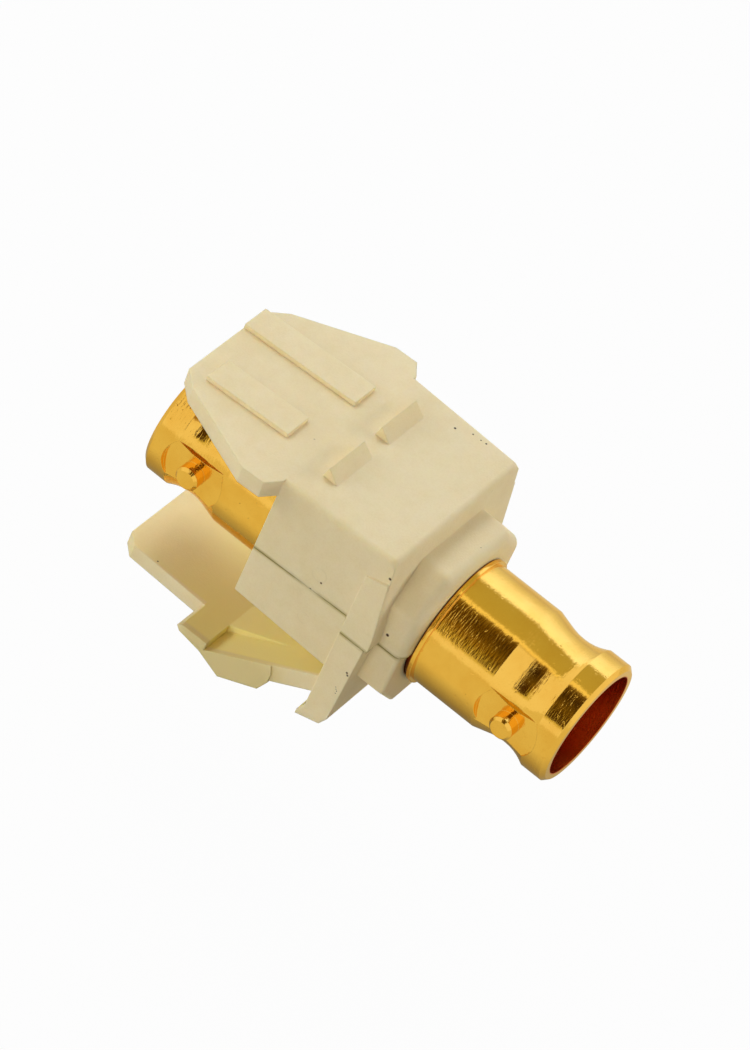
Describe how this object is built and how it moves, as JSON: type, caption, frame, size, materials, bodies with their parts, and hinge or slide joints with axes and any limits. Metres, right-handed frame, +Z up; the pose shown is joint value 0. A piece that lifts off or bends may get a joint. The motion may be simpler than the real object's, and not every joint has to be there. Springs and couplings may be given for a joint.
{
  "type": "bnc keystone jack",
  "caption": "Snap-in keystone jack: ivory two-part housing with a sprung latch arm round a gold-plated coaxial barrel with a bayonet socket at each end.",
  "frame": {"origin": "on the barrel's axis, level with the front edge of the top plate, where the jack sits in its panel", "axes": "+Z up, -Y out of the front socket, +X to the right seen from behind"},
  "size_m": [0.018, 0.0351, 0.02],
  "materials": {
    "housing": "moulded, fine matte grain",
    "housing_lower": "moulded, fine matte grain",
    "gold_shell": "polished gold plating over turned brass",
    "insulator": "smooth",
    "gold_contact": "gold plating"
  },
  "bodies": {
    "root": {"upper_housing": "housing", "lower_housing": "housing_lower", "coupler_shell": "gold_shell", "front_insulator": "insulator", "rear_insulator": "insulator", "centre_contact": "gold_contact"}
  },
  "joints": []
}
